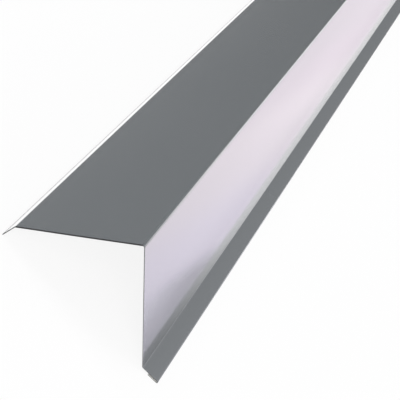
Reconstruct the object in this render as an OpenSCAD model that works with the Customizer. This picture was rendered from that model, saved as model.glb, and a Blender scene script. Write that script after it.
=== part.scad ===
// Verge flashing: one strip of coated steel sheet, folded along its length.
// It is stored as it lies unheld on a level floor: ridge up, like a tent, on the lip's cut edge and on the hem.
// The length runs along Y. The origin is on the floor, below the middle of the part.
// Widths are measured on the coated outer side, from sharp corner to sharp corner, as a folding drawing gives them.

/* [Sheet] */
// Length that the flashing is sold in
stock_length = 2000; // [500:50:3000]
// Thickness of the sheet with its coating
sheet_t = 0.5; // [0.4:0.05:1]

/* [Roof flange] */
// Width of the flange that lies on the roof
flange_w = 100; // [60:1:200]
// Width of the stiffening lip along the flange's free edge
lip_w = 12.5; // [6:0.5:25]
// How far the lip is folded down out of the flange, in degrees
lip_angle = 37; // [15:1:60]
// Radius inside the lip's fold
lip_r = 1; // [0.5:0.1:2]

/* [Verge face] */
// Width of the face that covers the verge board
face_w = 98; // [60:1:200]
// How far the face is folded down out of the flange, in degrees
ridge_angle = 90; // [80:1:110]
// Radius inside the fold between flange and face
ridge_r = 1.2; // [0.5:0.1:3]

/* [Drip edge] */
// Width of the drip lip, from the face to the round of its hem
drip_w = 16; // [12:1:30]
// How far the drip lip is kicked out of the face, in degrees
drip_angle = 50; // [20:1:60]
// Radius inside the fold between face and drip lip
drip_r = 1; // [0.5:0.1:3]
// Width of the hem that is folded back under the drip lip
hem_w = 9.5; // [5:0.5:10]
// Gap left open inside the hem
hem_gap = 1; // [0.4:0.1:2]

/* [Hidden] */
$fn = 96;
coat_grey = [116, 120, 123] / 255;

// A fold shortens the flats beside it by this much, with r the radius on the outer side
function setback(angle, r) = r * tan(angle / 2);
lip_setback = setback(lip_angle, lip_r + sheet_t);
ridge_setback = setback(ridge_angle, ridge_r + sheet_t);
drip_setback = setback(drip_angle, drip_r);
hem_r = hem_gap / 2 + sheet_t;

// Unit vectors along the strip at a heading, and out of it towards the bare inner side
function along(heading) = [cos(heading), sin(heading)];
function inward(heading) = [sin(heading), -cos(heading)];

// Corners of the section with the flange level and the ridge at the origin, from the lip to the drip lip
face_heading = -ridge_angle;
drip_heading = drip_angle - ridge_angle;
lip_corner = [-flange_w, 0];
lip_tip = lip_corner - lip_w * along(lip_angle);
lip_feet = [lip_tip, lip_tip + sheet_t * inward(lip_angle)];
drip_corner = face_w * along(face_heading);
hem_centre = drip_corner + (drip_w - hem_r) * along(drip_heading) + hem_r * inward(drip_heading);
hem_end = hem_centre - (hem_w - hem_r) * along(drip_heading) + hem_r * inward(drip_heading);

// The floor is the line under the lip's cut edge that the hem's round or its free end meets first
function slope(from, to) = atan2(to[1] - from[1], to[0] - from[0]);
function slope_to_round(from) = slope(from, hem_centre) - asin(hem_r / norm(hem_centre - from));
floor_slope = max([for (foot = lip_feet) min(slope_to_round(foot), slope(foot, hem_end))]);
lip_heading = lip_angle - floor_slope;

// Where the lip's outer corner comes to lie, with the lowest point on the floor and the box centred
hem_x = (hem_centre - lip_tip) * along(floor_slope);
fold_x = (lip_w - lip_setback) * cos(lip_heading) - (lip_r + sheet_t) * (1 - sin(lip_heading));
lip_x = -(hem_x + hem_r + min(0, fold_x)) / 2;
lip_z = max(0, sheet_t * cos(lip_heading));

// One flat of the strip, which starts at the local origin and has its outer side up
module flat(width) {
    translate([0, -sheet_t])
        square([width, sheet_t]);
    translate([width, 0])
        children();
}

// The part of a round fold that lies between the end of one flat and the start of the next
module fold_sector(angle, r) {
    reach = 2 * (r + sheet_t);
    intersection() {
        difference() {
            circle(r + sheet_t);
            circle(r);
        }
        translate([0, -reach])
            square([reach, 2 * reach]);
        rotate(angle)
            translate([-reach, -reach])
                square([reach, 2 * reach]);
    }
}

// A fold away from the outer side, with r the radius on the inner side
module fold_down(angle, r) {
    pivot = [0, -sheet_t - r];
    translate(pivot)
        fold_sector(-angle, r);
    translate(pivot)
        rotate(-angle)
            translate(-pivot)
                children();
}

// A fold towards the outer side, with r the radius on the outer side
module fold_up(angle, r) {
    pivot = [0, r];
    translate(pivot)
        fold_sector(angle, r);
    translate(pivot)
        rotate(angle)
            translate(-pivot)
                children();
}

// The whole strip, folded in order from the lip's cut edge to the hem's
module section() {
    flat(lip_w - lip_setback)
        fold_down(lip_angle, lip_r)
        flat(flange_w - lip_setback - ridge_setback)
        fold_down(ridge_angle, ridge_r)
        flat(face_w - ridge_setback - drip_setback)
        fold_up(drip_angle, drip_r)
        flat(drip_w - drip_setback - hem_r)
        fold_down(180, hem_gap / 2)
        flat(hem_w - hem_r);
}

module verge_flashing() {
    color(coat_grey)
        rotate([90, 0, 0])
            linear_extrude(stock_length, center = true, convexity = 6)
                translate([lip_x, lip_z])
                    rotate(lip_heading)
                        section();
}

verge_flashing();
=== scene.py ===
"""Verge flashing of coated sheet steel, lying ridge up on a pale floor."""

import math

import bpy
from mathutils import Matrix, Vector


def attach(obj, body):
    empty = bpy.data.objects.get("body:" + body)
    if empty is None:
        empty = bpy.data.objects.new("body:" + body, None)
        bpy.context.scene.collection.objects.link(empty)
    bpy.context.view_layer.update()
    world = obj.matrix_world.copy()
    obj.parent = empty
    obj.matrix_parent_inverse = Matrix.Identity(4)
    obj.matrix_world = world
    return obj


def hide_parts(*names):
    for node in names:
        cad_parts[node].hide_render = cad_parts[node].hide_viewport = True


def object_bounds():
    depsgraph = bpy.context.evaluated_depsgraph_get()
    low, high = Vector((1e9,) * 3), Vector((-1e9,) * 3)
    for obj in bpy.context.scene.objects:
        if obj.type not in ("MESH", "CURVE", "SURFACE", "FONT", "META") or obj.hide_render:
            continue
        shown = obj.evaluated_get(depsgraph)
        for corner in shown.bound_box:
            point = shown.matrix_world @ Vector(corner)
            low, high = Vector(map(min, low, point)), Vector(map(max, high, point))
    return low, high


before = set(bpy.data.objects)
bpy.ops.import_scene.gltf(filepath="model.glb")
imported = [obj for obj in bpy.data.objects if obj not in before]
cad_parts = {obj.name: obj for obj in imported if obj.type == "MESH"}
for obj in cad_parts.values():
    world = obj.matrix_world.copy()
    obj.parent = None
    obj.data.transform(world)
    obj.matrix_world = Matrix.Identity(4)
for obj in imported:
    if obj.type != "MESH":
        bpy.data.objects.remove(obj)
cad_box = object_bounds()

MM = 0.001

# The section, as the part's drawing gives it: widths on the coated outer side, angles in degrees
SHEET = 0.5 * MM
FLANGE_W = 100 * MM
LIP_W = 12.5 * MM
LIP_ANGLE = 37
LIP_R = 1 * MM
FACE_W = 98 * MM
RIDGE_ANGLE = 90
RIDGE_R = 1.2 * MM
DRIP_W = 16 * MM
DRIP_ANGLE = 50
DRIP_R = 1 * MM
HEM_W = 9.5 * MM
HEM_GAP = 1 * MM
HEM_ANGLE = 180
HEM_R = HEM_GAP / 2 + SHEET

# How finely the visible sheet is divided: degrees in a fold, lengths on the flats and along the strip,
# and the width of the narrow row beside each fold and each cut end
ARC_STEP = 6
FLAT_STEP = 10 * MM
RING_STEP = 20 * MM
SUPPORT = 1.2 * MM

# Faces that meet at more than this many degrees are shaded with a sharp edge between them
SHARP_FROM = 35

# Cutting rolls the outer side over at the cut edges: the radius, and the angles at which it is divided
ROLLOVER = 0.14 * MM
ROLLOVER_STEPS = 3
ROLLOVER_ANGLES = [math.pi / 2 * i / ROLLOVER_STEPS for i in range(ROLLOVER_STEPS + 1)]

# Slight waviness of the flats, which rolled and folded sheet always has: each wave's share of the
# height, its length, its change of phase across the strip and its first phase. Flats up to WAVY_FROM
# wide stay plain.
WAVE_HEIGHT = 0.12 * MM
WAVES = (
    (0.5, 0.43, 9, 0.0),
    (0.3, 0.29, -14, 1.3),
    (0.2, 0.71, 5, 2.1),
)
WAVY_FROM = 5 * FLAT_STEP

# The photograph's camera, with the flange level, the ridge at zero and y from the near end
CAMERA_AT = Vector((294.7, -915.0, 427.6)) * MM
CAMERA_AIM = Vector((12.7, 96.9, 0.0)) * MM
CAMERA_ROLL = 1.8
FOCAL_PIXELS = 1474
IMAGE_PIXELS = 400
SENSOR = 36

# The sheet's material slots, in the order in which it gets its materials
OUTER, BACK, CUT, BRUISED_AND_SHADED = 0, 1, 2, 3

# A mix node's sockets for two colours, and its output for the mixed one
FIRST_COLOUR, SECOND_COLOUR, MIXED_COLOUR = 6, 7, 2


def along(heading):
    """Direction in the section at a heading in degrees, which is level at 0."""
    a = math.radians(heading)
    return Vector((math.cos(a), math.sin(a)))


def inward(heading):
    """Direction from the outer side into the sheet where the strip runs at a heading."""
    a = math.radians(heading)
    return Vector((math.sin(a), -math.cos(a)))


def setback(angle, radius):
    """What a fold takes off the width of the flat beside it."""
    return radius * math.tan(math.radians(angle) / 2)


LIP_SETBACK = setback(LIP_ANGLE, LIP_R + SHEET)
RIDGE_SETBACK = setback(RIDGE_ANGLE, RIDGE_R + SHEET)
DRIP_SETBACK = setback(DRIP_ANGLE, DRIP_R)

# Steps from the lip's cut edge to the hem's: a flat's width, or a fold's angle and the radius
# on its hollow side
STRIP = (
    ("flat", LIP_W - LIP_SETBACK),
    ("down", LIP_ANGLE, LIP_R),
    ("flat", FLANGE_W - LIP_SETBACK - RIDGE_SETBACK),
    ("down", RIDGE_ANGLE, RIDGE_R),
    ("flat", FACE_W - RIDGE_SETBACK - DRIP_SETBACK),
    ("up", DRIP_ANGLE, DRIP_R),
    ("flat", DRIP_W - DRIP_SETBACK - HEM_R),
    ("down", HEM_ANGLE, HEM_GAP / 2),
    ("flat", HEM_W - HEM_R),
)


def flat_stops(width):
    """Distances along a flat at which the sheet is divided, close together beside a fold."""
    inner = width - 2 * SUPPORT
    count = max(2, round(inner / FLAT_STEP))
    return [0] + [SUPPORT + inner * i / count for i in range(count + 1)] + [width]


def strip_points():
    """Points along the outer side, from the lip's cut edge to the hem's.

    Each comes with its inward direction and how free it is to wave, from 0 at a fold to 1.
    """
    at = Vector((-FLANGE_W, 0)) - LIP_W * along(LIP_ANGLE)
    heading = LIP_ANGLE
    points = [(at, inward(heading), 0)]
    for step in STRIP:
        if step[0] == "flat":
            width = step[1]
            for stop in flat_stops(width)[1:]:
                free = math.sin(math.pi * stop / width) ** 2 if width > WAVY_FROM else 0
                points.append((at + stop * along(heading), inward(heading), free))
            at = at + width * along(heading)
            continue
        kind, angle, radius = step
        turn = -1 if kind == "down" else 1
        reach = radius + SHEET if kind == "down" else -radius
        centre = at + reach * inward(heading)
        count = math.ceil(angle / ARC_STEP)
        for i in range(1, count + 1):
            now = heading + turn * angle * i / count
            points.append((centre - reach * inward(now), inward(now), 0))
        heading += turn * angle
        at = points[-1][0]
    return points


def rest_tilt(points):
    """The angle that brings the lip's lowest corner and the hem's lowest point level, in degrees."""
    lip, lip_in, _ = points[0]
    feet = (lip, lip + SHEET * lip_in)
    past_face = [p for p, _, _ in points if p.x > 0]
    slopes = [min(math.atan2(p.y - foot.y, p.x - foot.x) for p in past_face) for foot in feet]
    return -math.degrees(max(slopes))


STRIP_POINTS = strip_points()
TILT = rest_tilt(STRIP_POINTS)
TURN = Matrix.Rotation(math.radians(TILT), 2)


def rest_offset():
    """Shift that sets the turned section down on the floor, with its box centred on the origin."""
    turned = []
    for p, n, _ in STRIP_POINTS:
        turned += [TURN @ p, TURN @ (p + SHEET * n)]
    low_x = min(p.x for p in turned)
    high_x = max(p.x for p in turned)
    return Vector((-(low_x + high_x) / 2, -min(p.y for p in turned)))


OFFSET = rest_offset()
NEAR_END = cad_box[0][1]
FAR_END = cad_box[1][1]


def to_row(section, y):
    """A point of the section, in the row frame, y being already a place along the row's Y."""
    p = TURN @ Vector((section[0], section[1])) + OFFSET
    return Vector((p.x, y, p.y))


def to_row_direction(v):
    """A direction given with the flange level, in the row frame."""
    p = TURN @ Vector((v.x, v.z))
    return Vector((p.x, v.y, p.y))


def wave(s, y):
    """Height of the sheet's waviness at a place across the strip and along the length."""
    turn = 2 * math.pi
    height = 0.0
    for share, length, across, phase in WAVES:
        height += share * math.sin(turn * y / length + across * s + phase)
    return WAVE_HEIGHT * height


def rolled_corner(p, n, out, pull):
    """The rounded outer corner of a long cut edge, from the flat to the edge face.

    p is the sharp corner, n the inward direction there, and out points off the strip.
    """
    corner = []
    for a in ROLLOVER_ANGLES:
        short = out * ROLLOVER * (1 - math.sin(a))
        sunk = n * (ROLLOVER * (1 - math.cos(a)) + pull)
        corner.append(p - short + sunk)
    return corner


def ring_profile(y, pull):
    """One closed ring of the sheet at y, outer side first, and how many of its points that side has.

    pull draws the outer side in, for the rolled-over edge of a cut end.
    """
    travelled = 0.0
    last = STRIP_POINTS[0][0]
    outer = []
    inner = []
    for p, n, free in STRIP_POINTS:
        travelled += (p - last).length
        last = p
        lift = -wave(travelled, y) * free * n
        outer.append(p + lift + pull * n)
        inner.append(p + lift + SHEET * n)
    first, first_n, _ = STRIP_POINTS[0]
    end, end_n, _ = STRIP_POINTS[-1]
    first_corner = rolled_corner(first, first_n, Vector((first_n.y, -first_n.x)), pull)
    end_corner = rolled_corner(end, end_n, Vector((-end_n.y, end_n.x)), pull)
    outer = first_corner[::-1] + outer[1:-1] + end_corner
    return [to_row(p, y) for p in outer + inner[::-1]], len(outer)


def ring_places():
    """Places along the row's Y, each with how far the outer side is pulled in there."""
    tip = [(ROLLOVER * (1 - math.cos(a)), ROLLOVER * (1 - math.sin(a))) for a in ROLLOVER_ANGLES]
    length = FAR_END - NEAR_END
    start = tip[-1][0] + SUPPORT
    count = round((length - 2 * start) / RING_STEP)
    middle = [(start + (length - 2 * start) * i / count, 0.0) for i in range(count + 1)]
    far_tip = [(length - y, pull) for y, pull in reversed(tip)]
    return [(NEAR_END + y, pull) for y, pull in tip + middle + far_tip]


def folded_sheet():
    """The whole visible flashing: outer side, back and cut edges of one sheet, as one closed mesh."""
    rings = []
    for y, pull in ring_places():
        ring, outer_count = ring_profile(y, pull)
        rings.append(ring)
    size = len(rings[0])
    last = len(rings) - 1
    faces = []
    slots = []
    # The bruised coat, near-black also as painted shade, covers the rolled-over edge and one row more,
    # along the lip's cut edge and across the ends of lip and flange, but not across the face's ends
    band = ROLLOVER_STEPS + 1
    flange_columns = ROLLOVER_STEPS + sum(p.x < -RIDGE_SETBACK for p, _, _ in STRIP_POINTS)
    for r in range(last):
        at_end = r < band or r >= last - band
        a = r * size
        b = a + size
        for i in range(size):
            j = (i + 1) % size
            faces.append((a + i, a + j, b + j, b + i))
            if i in (outer_count - 1, size - 1):
                slots.append(CUT)
            elif i >= outer_count:
                slots.append(BACK)
            elif i < band or (at_end and i < flange_columns):
                slots.append(BRUISED_AND_SHADED)
            else:
                slots.append(OUTER)
    # Each cut end is closed from its outer to its inner side. The outer side has more points, so some
    # of its steps at either long edge share one inner point.
    inner_count = size - outer_count
    head = (outer_count - inner_count) // 2
    for base, flip in ((0, False), (last * size, True)):
        for k in range(outer_count - 1):
            here = min(max(k - head, 0), inner_count - 1)
            ahead = min(max(k + 1 - head, 0), inner_count - 1)
            rung = [base + k, base + k + 1, base + size - 1 - ahead]
            if here != ahead:
                rung.append(base + size - 1 - here)
            faces.append(tuple(rung) if flip else tuple(reversed(rung)))
            slots.append(CUT)
    mesh = bpy.data.meshes.new("folded_sheet")
    mesh.from_pydata([tuple(v) for ring in rings for v in ring], [], faces)
    mesh.polygons.foreach_set("material_index", slots)
    mesh.polygons.foreach_set("use_smooth", [True] * len(faces))
    mesh.set_sharp_from_angle(angle=math.radians(SHARP_FROM))
    mesh.validate()
    mesh.update()
    sheet = bpy.data.objects.new("folded_sheet", mesh)
    bpy.context.scene.collection.objects.link(sheet)
    return sheet


class Nodes:
    """Adds nodes to a new material, or to the world handed in as its owner, and links them."""

    def __init__(self, name, owner=None):
        self.material = owner or bpy.data.materials.new(name)
        self.material.use_nodes = True
        self.tree = self.material.node_tree
        self.shader = self.tree.nodes.get("Principled BSDF")
        coordinates = self.tree.nodes.new("ShaderNodeTexCoord")
        self.place = coordinates.outputs["Object"]
        self.direction = coordinates.outputs["Generated"]

    def add(self, kind, links=(), **values):
        """Adds a node. Each value is one of its settings or sockets, and links name sockets."""
        node = self.tree.nodes.new(kind)
        for key, value in values.items():
            if hasattr(node, key):
                setattr(node, key, value)
            else:
                node.inputs[key.replace("_", " ")].default_value = value
        for socket, source in dict(links).items():
            self.tree.links.new(source, node.inputs[socket])
        return node

    def combine(self, operation, first, second):
        """Result of a maths operation on two values."""
        return self.add("ShaderNodeMath", {0: first, 1: second}, operation=operation).outputs[0]

    def stretched(self, scale):
        """Places on the object, times a scale along each axis."""
        return self.add("ShaderNodeMapping", {"Vector": self.place}, Scale=scale).outputs["Vector"]

    def noise(self, vector, scale, detail):
        """Cloudy value between 0 and 1."""
        node = self.add("ShaderNodeTexNoise", {"Vector": vector}, Scale=scale, Detail=detail)
        return node.outputs["Fac"]

    def between(self, fac, low, high):
        """Goes evenly from low to high as fac goes from 0 to 1."""
        node = self.add("ShaderNodeMapRange", {"Value": fac}, To_Min=low, To_Max=high)
        return node.outputs["Result"]

    def eased(self, value, start, full, low=0.0, high=1.0):
        """Goes smoothly from low to high as a value goes from start to full."""
        node = self.add(
            "ShaderNodeMapRange", {"Value": value}, interpolation_type="SMOOTHSTEP",
            From_Min=start, From_Max=full, To_Min=low, To_Max=high,
        )
        return node.outputs["Result"]

    def blend(self, fac, first, second):
        """Colour that goes from the first to the second as fac goes from 0 to 1."""
        node = self.add("ShaderNodeMix", {0: fac}, data_type="RGBA")
        node.inputs[FIRST_COLOUR].default_value = (*first, 1)
        node.inputs[SECOND_COLOUR].default_value = (*second, 1)
        return node.outputs[MIXED_COLOUR]

    def ramp(self, value, span, tones):
        """Colours set at places from -span to span along a value, easing from one to the next."""
        spread = self.add("ShaderNodeMapRange", {"Value": value}, From_Min=-span, From_Max=span)
        node = self.add("ShaderNodeValToRGB", {"Fac": spread.outputs["Result"]})
        node.color_ramp.interpolation = "EASE"
        stops = node.color_ramp.elements
        while len(stops) > 1:
            stops.remove(stops[-1])
        for i, (place, tone) in enumerate(tones):
            position = (place / span + 1) / 2
            stop = stops[0] if i == 0 else stops.new(position)
            stop.position = position
            stop.color = (*tone, 1)
        return node.outputs["Color"]

    def bump(self, height, distance, under=None):
        """Relief of a height value, laid over the relief under it."""
        node = self.add("ShaderNodeBump", {"Height": height}, Distance=distance)
        if under is not None:
            self.tree.links.new(under, node.inputs["Normal"])
        return node.outputs["Normal"]

    def drive(self, **sources):
        """Links sources to the standard shader's sockets."""
        for key, source in sources.items():
            self.tree.links.new(source, self.shader.inputs[key.replace("_", " ")])

    def fix(self, values):
        """Sets constants on the standard shader's sockets."""
        for key, value in values.items():
            self.shader.inputs[key].default_value = value

    def replace_shader(self, shader):
        """Puts another shader in the standard one's place."""
        self.tree.links.new(shader.outputs[0], self.tree.nodes["Material Output"].inputs["Surface"])
        self.tree.nodes.remove(self.shader)


def topcoat():
    """Glossy grey polyester coat: fine orange peel, faint lines along the rolling direction."""
    n = Nodes("grey_topcoat")
    peel = n.noise(n.place, scale=900.0, detail=2.0)
    drift = n.noise(n.stretched((6.0, 0.8, 6.0)), scale=2.0, detail=3.0)
    lines = n.noise(n.stretched((900.0, 1.5, 900.0)), scale=1.0, detail=2.0)
    n.drive(
        Base_Color=n.blend(drift, (0.168, 0.181, 0.190), (0.182, 0.195, 0.206)),
        Roughness=n.between(lines, 0.16, 0.20),
        Normal=n.bump(peel, 0.004 * MM, n.bump(lines, 0.002 * MM)),
    )
    n.fix({"IOR": 2.1, "Coat Weight": 1.0, "Coat Roughness": 0.09, "Coat IOR": 2.0})
    return n.material


def back_coat():
    """Thin matt primer on the back, off-white and a little cloudy."""
    n = Nodes("back_primer")
    clouds = n.noise(n.stretched((5.0, 1.2, 5.0)), scale=3.0, detail=4.0)
    lines = n.noise(n.stretched((700.0, 1.2, 700.0)), scale=1.0, detail=2.0)
    n.drive(
        Base_Color=n.blend(clouds, (0.66, 0.66, 0.64), (0.74, 0.74, 0.72)),
        Roughness=n.between(lines, 0.42, 0.55),
        Normal=n.bump(lines, 0.003 * MM),
    )
    return n.material


def cut_steel():
    """Sheared edge of the sheet: dark bare steel with fine shear marks."""
    n = Nodes("sheared_edge")
    marks = n.noise(n.stretched((1500.0, 1500.0, 300.0)), scale=1.0, detail=3.0)
    n.drive(
        Base_Color=n.blend(marks, (0.008, 0.008, 0.009), (0.03, 0.03, 0.032)),
        Roughness=n.between(marks, 0.5, 0.7),
        Normal=n.bump(marks, 0.01 * MM),
    )
    n.fix({"IOR": 1.25})
    return n.material


def bruised_coat_and_painted_shade():
    """Narrow near-black band: coat bruised by the shears and the slitter, and painted shade for the dark
    line along the lip's edge and across the ends of lip and flange.
    """
    n = Nodes("bruised_coat_and_painted_shade")
    marks = n.noise(n.stretched((1200.0, 400.0, 1200.0)), scale=1.0, detail=3.0)
    n.drive(
        Base_Color=n.blend(marks, (0.012, 0.012, 0.013), (0.05, 0.05, 0.052)),
        Roughness=n.between(marks, 0.5, 0.7),
        Normal=n.bump(marks, 0.005 * MM),
    )
    n.fix({"IOR": 1.3})
    return n.material


def level_card(name, x, y, z, material):
    """A level rectangle between two places along X and two along Y."""
    mesh = bpy.data.meshes.new(name)
    corners = [(x[0], y[0], z), (x[1], y[0], z), (x[1], y[1], z), (x[0], y[1], z)]
    mesh.from_pydata(corners, [], [(0, 1, 2, 3)])
    mesh.materials.append(material)
    card = bpy.data.objects.new(name, mesh)
    bpy.context.scene.collection.objects.link(card)
    return card


def background_rays(n):
    """1 for the rays that see the background, which are camera, glossy and transmission rays, else 0."""
    rays = n.add("ShaderNodeLightPath").outputs
    seen = n.combine("MAXIMUM", rays["Is Camera Ray"], rays["Is Glossy Ray"])
    return n.combine("MAXIMUM", seen, rays["Is Transmission Ray"])


FLOOR_SIZE = 400.0

# The floor's dull white, which gives back the lamps' light and takes the shadow
FLOOR_DULL = (0.82, 0.82, 0.82)

# How far the background's rays see even white in its place, near the sheet and far off, and the
# distances between which the first share turns into the second
FLOOR_GLOW = (0.88, 1.0)
FLOOR_FADE = (1.8, 4.5)


def white_floor():
    """Wide pale floor that reads as white and still takes a soft shadow."""
    n = Nodes("floor_white")
    away = n.add("ShaderNodeVectorMath", {0: n.place}, operation="LENGTH")
    glow = n.eased(away.outputs["Value"], *FLOOR_FADE, *FLOOR_GLOW)
    share = n.combine("MULTIPLY", background_rays(n), glow)
    dull = n.add("ShaderNodeBsdfDiffuse")
    dull.inputs["Color"].default_value = (*FLOOR_DULL, 1)
    white = n.add("ShaderNodeEmission")
    n.replace_shader(n.add("ShaderNodeMixShader", {0: share, 1: dull.outputs[0], 2: white.outputs[0]}))
    half = FLOOR_SIZE / 2
    floor = level_card("floor", (-half, half), (-half, half), 0, n.material)


# Clear sheets just over the floor that only the flashing's gloss sees, which paint shade and colour into
# its reflections: the scrims a painted shadow of the floor beside the near end and along the drip edge's
# foot, the right gel a painted lavender tint and brightness in the face's reflection, the left gel
# painted white in the lip's reflection. The white floor shows
# through each of them: dim is the share of it that one takes away, and its tones, set at places along Y,
# are what it adds.
# Along X and Y each is whole from the first value to the second and gone at the third.
WHOLE_LENGTH = (-1.4, 1.2, 1.5)
NO_TONE = ((0.0, (0.0, 0.0, 0.0)),)
GELS = {
    # Painted shadow in the face's reflection, darkening its lower part near the near end
    "near_shadow_scrim": dict(x=(0.081, 0.081, 0.19), y=(-1.15, -0.80, -0.71), z=1.0 * MM, dim=0.42),
    # Painted shadow in the face's reflection, along the foot of the drip edge
    "foot_shadow_scrim": dict(x=(0.081, 0.081, 0.15), y=WHOLE_LENGTH, z=0.75 * MM, dim=0.12),
    # Painted lavender tint and brightness in the face's reflection
    "right_gel": dict(
        x=(0.080, 0.30, 0.50), y=WHOLE_LENGTH, z=0.5 * MM,
        tones=(
            (-0.85, (0.05, 0.00, 0.16)),
            (-0.65, (0.12, 0.03, 0.21)),
            (-0.38, (0.21, 0.10, 0.20)),
            (-0.20, (0.27, 0.15, 0.24)),
            (0.05, (0.16, 0.03, 0.14)),
            (0.30, (0.10, 0.00, 0.09)),
        ),
    ),
    # Painted white in the left lip's reflection
    "left_gel": dict(
        x=(-0.080, -0.25, -0.45), y=WHOLE_LENGTH, z=0.5 * MM,
        tones=((0.0, (0.25, 0.25, 0.25)),),
    ),
}

# The places along Y that a gel's ramp of tones covers, either way from the middle
GEL_SPAN = 1.5


def floor_gel(name, x, y, z, dim=0.0, tones=NO_TONE):
    """Soft-edged clear sheet just over the floor, seen in the flashing's gloss only, where it paints
    shade or colour into the reflection.
    """
    n = Nodes(name)
    place = n.add("ShaderNodeSeparateXYZ", {"Vector": n.place})
    across = n.eased(place.outputs["X"], x[2], x[1])
    lengthwise = n.eased(place.outputs["Y"], y[2], y[1])
    share = n.combine("MULTIPLY", across, lengthwise)
    tone = n.ramp(place.outputs["Y"], GEL_SPAN, tones)
    added = n.add("ShaderNodeEmission", {"Color": tone, "Strength": share})
    clear = n.add("ShaderNodeBsdfTransparent", {"Color": n.between(share, 1.0, 1.0 - dim)})
    n.replace_shader(n.add("ShaderNodeAddShader", {0: clear.outputs[0], 1: added.outputs[0]}))
    n.material.cycles.emission_sampling = "NONE"
    gel = level_card(name, (x[0], x[2]), (y[0], y[2]), z, n.material)
    gel.visible_camera = False
    gel.visible_diffuse = False
    gel.visible_transmission = False
    gel.visible_shadow = False


# Tones of the room's walls, from the camera's left to its right, each at a direction's X
WALLS = (
    (-0.30, (0.12, 0.125, 0.13)),
    (-0.08, (0.09, 0.09, 0.09)),
    (0.07, (0.20, 0.205, 0.21)),
    (0.27, (0.46, 0.45, 0.465)),
    (0.42, (0.62, 0.61, 0.63)),
    (0.50, (0.15, 0.15, 0.155)),
    (0.85, (0.62, 0.60, 0.64)),
)

# What takes the walls' place overhead and behind the camera: the axis of the direction, where along it
# the tone begins and where it is full, and the tone
ROOM = (
    ("Z", 0.60, 0.90, (0.45, 0.45, 0.455)),
    ("Y", 0.10, -0.45, (0.62, 0.62, 0.625)),
)

# A soft bright patch in front on the right: its shares around the flashing's length, each at an angle
# up from X in radians, and its brightness along it, each at a direction's Y
PATCH_AROUND = ((0.27, 0.0), (0.52, 1.0), (0.88, 1.0), (1.15, 0.0))
PATCH_ALONG = ((0.85, 0.0), (0.905, 1.5), (0.958, 1.5), (0.985, 0.0))


def studio_world():
    """Soft room, the same for every ray: dim walls in front, paler overhead and behind the camera."""
    world = bpy.data.worlds.new("studio")
    n = Nodes("studio", world)
    split = n.add("ShaderNodeSeparateXYZ", {"Vector": n.direction})
    tone = n.ramp(split.outputs["X"], 1.0, WALLS)
    for axis, start, full, other in ROOM:
        share = n.eased(split.outputs[axis], start, full)
        mix = n.add("ShaderNodeMix", {0: share, FIRST_COLOUR: tone}, data_type="RGBA")
        mix.inputs[SECOND_COLOUR].default_value = (*other, 1)
        tone = mix.outputs[MIXED_COLOUR]
    around = n.combine("ARCTAN2", split.outputs["Z"], split.outputs["X"])
    shares = n.ramp(around, math.pi, [(angle, (share,) * 3) for angle, share in PATCH_AROUND])
    glow = n.ramp(split.outputs["Y"], 1.0, [(y, (bright,) * 3) for y, bright in PATCH_ALONG])
    lit = n.add("ShaderNodeVectorMath", {0: shares, 1: glow, 2: tone}, operation="MULTIPLY_ADD")
    n.tree.links.new(lit.outputs["Vector"], n.tree.nodes["Background"].inputs["Color"])
    bpy.context.scene.world = world


# Lamps that face the origin, each seen from there at an azimuth from +Y towards +X and an elevation,
# in degrees. Distances and sizes are in metres, and a glow of 1 would show as plain white.
LAMPS = {
    "key": dict(azimuth=-90, elevation=52, distance=4.0, size=(2.2, 2.2), glow=5.0),
    "front_fill": dict(azimuth=178, elevation=30, distance=6.0, size=(3.0, 3.0), glow=5.5),
    "side_light": dict(azimuth=80, elevation=16, distance=2.5, size=(1.8, 1.2), glow=4.5),
}


def soft_lamp(name, azimuth, elevation, distance, size, glow):
    """Soft lamp that doesn't show in the gloss, where it would burn out a whole flat in some views."""
    width, height = size
    lamp = bpy.data.lights.new(name, "AREA")
    lamp.shape = "RECTANGLE"
    lamp.size = width
    lamp.size_y = height
    lamp.energy = glow * math.pi * width * height
    az = math.radians(azimuth)
    el = math.radians(elevation)
    out = Vector((math.sin(az) * math.cos(el), math.cos(az) * math.cos(el), math.sin(el)))
    facing = out.to_track_quat("Z", "Y").to_matrix().to_4x4()
    place = bpy.data.objects.new(name, lamp)
    place.matrix_world = Matrix.Translation(out * distance) @ facing
    place.visible_camera = False
    place.visible_glossy = False
    bpy.context.scene.collection.objects.link(place)


def photo_camera():
    """The photograph's viewpoint, turned into the row frame with the flange."""
    data = bpy.data.cameras.new("camera")
    data.sensor_width = SENSOR
    data.lens = FOCAL_PIXELS / IMAGE_PIXELS * SENSOR
    data.clip_start = 0.05
    data.clip_end = 1000
    at = to_row((CAMERA_AT.x, CAMERA_AT.z), NEAR_END + CAMERA_AT.y)
    aim = to_row((CAMERA_AIM.x, CAMERA_AIM.z), NEAR_END + CAMERA_AIM.y)
    back = (at - aim).normalized()
    up_hint = to_row_direction(Vector((0, 0, 1)))
    right = up_hint.cross(back).normalized()
    up = back.cross(right)
    roll = Matrix.Rotation(math.radians(CAMERA_ROLL), 3, "Z")
    axes = Matrix((right, up, back)).transposed() @ roll
    camera = bpy.data.objects.new("camera", data)
    camera.matrix_world = Matrix.Translation(at) @ axes.to_4x4()
    bpy.context.scene.collection.objects.link(camera)
    bpy.context.scene.camera = camera


photo_camera()
white_floor()
studio_world()
for name, lamp in LAMPS.items():
    soft_lamp(name, **lamp)
for name, gel in GELS.items():
    floor_gel(name, **gel)

sheet = folded_sheet()
for make in (topcoat, back_coat, cut_steel, bruised_coat_and_painted_shade):
    sheet.data.materials.append(make())
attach(sheet, "root")
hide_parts("verge_flashing")

scene = bpy.context.scene
scene.view_settings.view_transform = "Standard"
